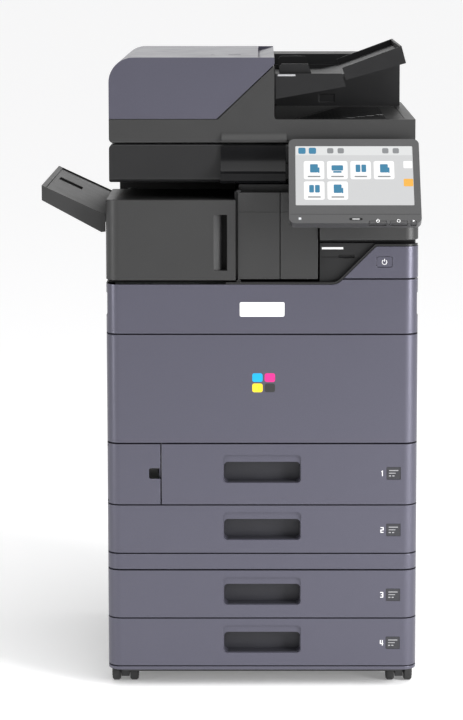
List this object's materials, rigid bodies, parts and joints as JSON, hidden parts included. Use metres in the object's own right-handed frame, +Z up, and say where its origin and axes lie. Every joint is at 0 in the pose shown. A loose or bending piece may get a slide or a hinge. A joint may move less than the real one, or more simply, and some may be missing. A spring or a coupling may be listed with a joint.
{
  "type": "photocopier",
  "caption": "Floor-standing colour photocopier on casters with paper drawers, a document feeder, an inner finisher with a side tray and a tilting touch panel.",
  "frame": {"origin": "centre of the machine's footprint box, on the floor", "axes": "+Z up, -Y the front with the drawers and the touch panel, +X the machine's right-hand side seen from the front"},
  "size_m": [0.728, 0.665, 1.254],
  "materials": {
    "slate_cover": "satin metallic slate",
    "charcoal_cover": "fine grained moulding",
    "panel_bezel": "satin",
    "screen_glass": "lit display behind a clear lens",
    "black_moulding": "matt",
    "toner_shell": "satin",
    "pale_plastic": "satin",
    "frame_steel": "zinc plated sheet",
    "base_steel": "black powder coat",
    "platen_glass": "clear, polished",
    "roller_rubber": "matt"
  },
  "bodies": {
    "cabinet": {"main_frame": "frame_steel", "feeder_frame": "base_steel", "side_covers": "charcoal_cover", "rear_cover": "charcoal_cover", "feeder_covers": "charcoal_cover", "feeder_trim": "slate_cover", "front_upper_panel": "slate_cover", "power_panel": "slate_cover", "bay_panel": "charcoal_cover", "scanner_column": "charcoal_cover", "print_engine": "black_moulding", "toner_containers": "toner_shell", "waste_toner_box": "pale_plastic", "scanner_body": "charcoal_cover", "platen_glass": "platen_glass", "panel_arm": "black_moulding", "finisher_body": "black_moulding", "relay_cover": "charcoal_cover"},
    "front_cover": {"front_cover": "slate_cover"},
    "waste_toner_door": {"waste_toner_door": "slate_cover"},
    "power_button": {"power_button": "slate_cover"},
    "exhaust_fan": {"exhaust_fan": "black_moulding"},
    "drawer_1": {"drawer_1_front": "slate_cover", "drawer_1_tray": "black_moulding"},
    "lift_plate_1": {"drawer_1_lift_plate": "frame_steel"},
    "drawer_2": {"drawer_2_front": "slate_cover", "drawer_2_tray": "black_moulding"},
    "lift_plate_2": {"drawer_2_lift_plate": "frame_steel"},
    "drawer_3": {"drawer_3_front": "slate_cover", "drawer_3_tray": "black_moulding"},
    "lift_plate_3": {"drawer_3_lift_plate": "frame_steel"},
    "drawer_4": {"drawer_4_front": "slate_cover", "drawer_4_tray": "black_moulding"},
    "lift_plate_4": {"drawer_4_lift_plate": "frame_steel"},
    "scan_carriage": {"scan_carriage": "black_moulding"},
    "mirror_carriage": {"mirror_carriage": "black_moulding"},
    "document_feeder": {"adf_base": "charcoal_cover", "adf_rear_cover": "charcoal_cover", "platen_pad": "pale_plastic"},
    "feeder_top_cover": {"adf_top_cover": "slate_cover"},
    "feed_tray": {"adf_feed_tray": "charcoal_cover"},
    "guide_front": {"adf_guide_front": "charcoal_cover"},
    "guide_rear": {"adf_guide_rear": "charcoal_cover"},
    "feed_roller": {"adf_feed_roller": "roller_rubber"},
    "touch_panel": {"panel_housing": "panel_bezel", "touch_screen": "screen_glass"},
    "panel_key_1": {"panel_key_1": "panel_bezel"},
    "panel_key_2": {"panel_key_2": "panel_bezel"},
    "panel_key_3": {"panel_key_3": "panel_bezel"},
    "finisher_door": {"finisher_door": "charcoal_cover"},
    "relay_door": {"relay_door": "charcoal_cover"},
    "finisher_tray": {"finisher_tray": "charcoal_cover"},
    "right_door": {"right_door": "charcoal_cover"},
    "bypass_tray": {"bypass_tray": "charcoal_cover"},
    "caster_left": {"caster_fork_left": "base_steel"},
    "wheels_front_left": {"wheels_front_left": "roller_rubber"},
    "wheels_rear_left": {"wheels_rear_left": "roller_rubber"},
    "caster_right": {"caster_fork_right": "base_steel"},
    "wheels_front_right": {"wheels_front_right": "roller_rubber"},
    "wheels_rear_right": {"wheels_rear_right": "roller_rubber"}
  },
  "joints": [
    {"name": "drawer_1_slide", "type": "slide", "parent": "cabinet", "child": "drawer_1", "axis": [0, -1, 0], "range_m": [0, 0.43]},
    {"name": "lift_plate_1_hinge", "type": "hinge", "parent": "drawer_1", "child": "lift_plate_1", "pos_m": [0.003, 0.0625, 0.3895], "axis": [0, -1, 0], "range_deg": [0, 9]},
    {"name": "drawer_2_slide", "type": "slide", "parent": "cabinet", "child": "drawer_2", "axis": [0, -1, 0], "range_m": [0, 0.43]},
    {"name": "lift_plate_2_hinge", "type": "hinge", "parent": "drawer_2", "child": "lift_plate_2", "pos_m": [0.003, 0.0625, 0.2935], "axis": [0, -1, 0], "range_deg": [0, 9]},
    {"name": "drawer_3_slide", "type": "slide", "parent": "cabinet", "child": "drawer_3", "axis": [0, -1, 0], "range_m": [0, 0.43]},
    {"name": "lift_plate_3_hinge", "type": "hinge", "parent": "drawer_3", "child": "lift_plate_3", "pos_m": [0.003, 0.0625, 0.1645], "axis": [0, -1, 0], "range_deg": [0, 9]},
    {"name": "drawer_4_slide", "type": "slide", "parent": "cabinet", "child": "drawer_4", "axis": [0, -1, 0], "range_m": [0, 0.43]},
    {"name": "lift_plate_4_hinge", "type": "hinge", "parent": "drawer_4", "child": "lift_plate_4", "pos_m": [0.003, 0.0625, 0.0685], "axis": [0, -1, 0], "range_deg": [0, 9]},
    {"name": "front_cover_hinge", "type": "hinge", "parent": "cabinet", "child": "front_cover", "pos_m": [0.063, -0.2235, 0.4938], "axis": [1, 0, 0], "range_deg": [0, 90]},
    {"name": "waste_toner_door_hinge", "type": "hinge", "parent": "cabinet", "child": "waste_toner_door", "pos_m": [-0.234, -0.2055, 0.4265], "axis": [0, 0, -1], "range_deg": [0, 100]},
    {"name": "power_button_press", "type": "slide", "parent": "cabinet", "child": "power_button", "axis": [0, 1, 0], "range_m": [0, 0.0025], "stiffness_N_per_m": 500, "springref_m": -0.001},
    {"name": "exhaust_fan_spin", "type": "hinge", "parent": "cabinet", "child": "exhaust_fan", "pos_m": [0.213, 0.3265, 0.6415], "axis": [0, 1, 0], "continuous": true},
    {"name": "scan_carriage_slide", "type": "slide", "parent": "cabinet", "child": "scan_carriage", "axis": [1, 0, 0], "range_m": [0, 0.47]},
    {"name": "mirror_carriage_slide", "type": "slide", "parent": "cabinet", "child": "mirror_carriage", "axis": [1, 0, 0], "range_m": [0, 0.235]},
    {"name": "document_feeder_lift", "type": "hinge", "parent": "cabinet", "child": "document_feeder", "pos_m": [0.063, 0.3235, 1.068], "axis": [-1, 0, 0], "range_deg": [0, 65]},
    {"name": "feeder_top_cover_hinge", "type": "hinge", "parent": "document_feeder", "child": "feeder_top_cover", "pos_m": [-0.229, 0.0625, 1.12], "axis": [0, -1, 0], "range_deg": [0, 70]},
    {"name": "feed_tray_tilt", "type": "hinge", "parent": "document_feeder", "child": "feed_tray", "pos_m": [0.093, -0.0075, 1.197], "axis": [0, -1, 0], "range_deg": [0, 30]},
    {"name": "guide_front_slide", "type": "slide", "parent": "feed_tray", "child": "guide_front", "axis": [0, 1, 0], "range_m": [0, 0.1]},
    {"name": "guide_rear_slide", "type": "slide", "parent": "feed_tray", "child": "guide_rear", "axis": [0, 1, 0], "range_m": [-0.1, 0]},
    {"name": "feed_roller_spin", "type": "hinge", "parent": "document_feeder", "child": "feed_roller", "pos_m": [0.039, -0.0025, 1.194], "axis": [0, 1, 0], "continuous": true},
    {"name": "touch_panel_tilt", "type": "hinge", "parent": "cabinet", "child": "touch_panel", "pos_m": [0.238, -0.2055, 1.046], "axis": [1, 0, 0], "range_deg": [-15, 20]},
    {"name": "panel_key_1_press", "type": "slide", "parent": "touch_panel", "child": "panel_key_1", "axis": [0, 0.7826, -0.6225], "range_m": [0, 0.0012], "stiffness_N_per_m": 400, "springref_m": -0.0005},
    {"name": "panel_key_2_press", "type": "slide", "parent": "touch_panel", "child": "panel_key_2", "axis": [0, 0.7826, -0.6225], "range_m": [0, 0.0012], "stiffness_N_per_m": 400, "springref_m": -0.0005},
    {"name": "panel_key_3_press", "type": "slide", "parent": "touch_panel", "child": "panel_key_3", "axis": [0, 0.7826, -0.6225], "range_m": [0, 0.0012], "stiffness_N_per_m": 400, "springref_m": -0.0005},
    {"name": "finisher_door_hinge", "type": "hinge", "parent": "cabinet", "child": "finisher_door", "pos_m": [-0.234, -0.2055, 0.88], "axis": [0, 0, -1], "range_deg": [0, 100]},
    {"name": "relay_door_hinge", "type": "hinge", "parent": "cabinet", "child": "relay_door", "pos_m": [0.018, -0.2195, 0.89], "axis": [0, 0, -1], "range_deg": [0, 90]},
    {"name": "finisher_tray_lower", "type": "slide", "parent": "cabinet", "child": "finisher_tray", "axis": [0, 0, -1], "range_m": [0, 0.06]},
    {"name": "right_door_hinge", "type": "hinge", "parent": "cabinet", "child": "right_door", "pos_m": [0.359, 0.2685, 0.54], "axis": [0, 0, 1], "range_deg": [0, 90]},
    {"name": "bypass_tray_hinge", "type": "hinge", "parent": "right_door", "child": "bypass_tray", "pos_m": [0.3613, 0.0625, 0.503], "axis": [0, 1, 0], "range_deg": [0, 75]},
    {"name": "caster_left_swivel", "type": "hinge", "parent": "cabinet", "child": "caster_left", "pos_m": [-0.207, -0.1555, 0.04], "axis": [0, 0, 1], "continuous": true},
    {"name": "wheels_front_left_spin", "type": "hinge", "parent": "caster_left", "child": "wheels_front_left", "pos_m": [-0.207, -0.1655, 0.0185], "axis": [1, 0, 0], "continuous": true},
    {"name": "wheels_rear_left_spin", "type": "hinge", "parent": "cabinet", "child": "wheels_rear_left", "pos_m": [-0.207, 0.2625, 0.0185], "axis": [1, 0, 0], "continuous": true},
    {"name": "caster_right_swivel", "type": "hinge", "parent": "cabinet", "child": "caster_right", "pos_m": [0.333, -0.1555, 0.04], "axis": [0, 0, 1], "continuous": true},
    {"name": "wheels_front_right_spin", "type": "hinge", "parent": "caster_right", "child": "wheels_front_right", "pos_m": [0.333, -0.1655, 0.0185], "axis": [1, 0, 0], "continuous": true},
    {"name": "wheels_rear_right_spin", "type": "hinge", "parent": "cabinet", "child": "wheels_rear_right", "pos_m": [0.333, 0.2625, 0.0185], "axis": [1, 0, 0], "continuous": true}
  ],
  "couplings": [
    {"joint": "mirror_carriage_slide", "follows": "scan_carriage_slide", "ratio": 0.5},
    {"joint": "guide_rear_slide", "follows": "guide_front_slide", "ratio": -1}
  ]
}
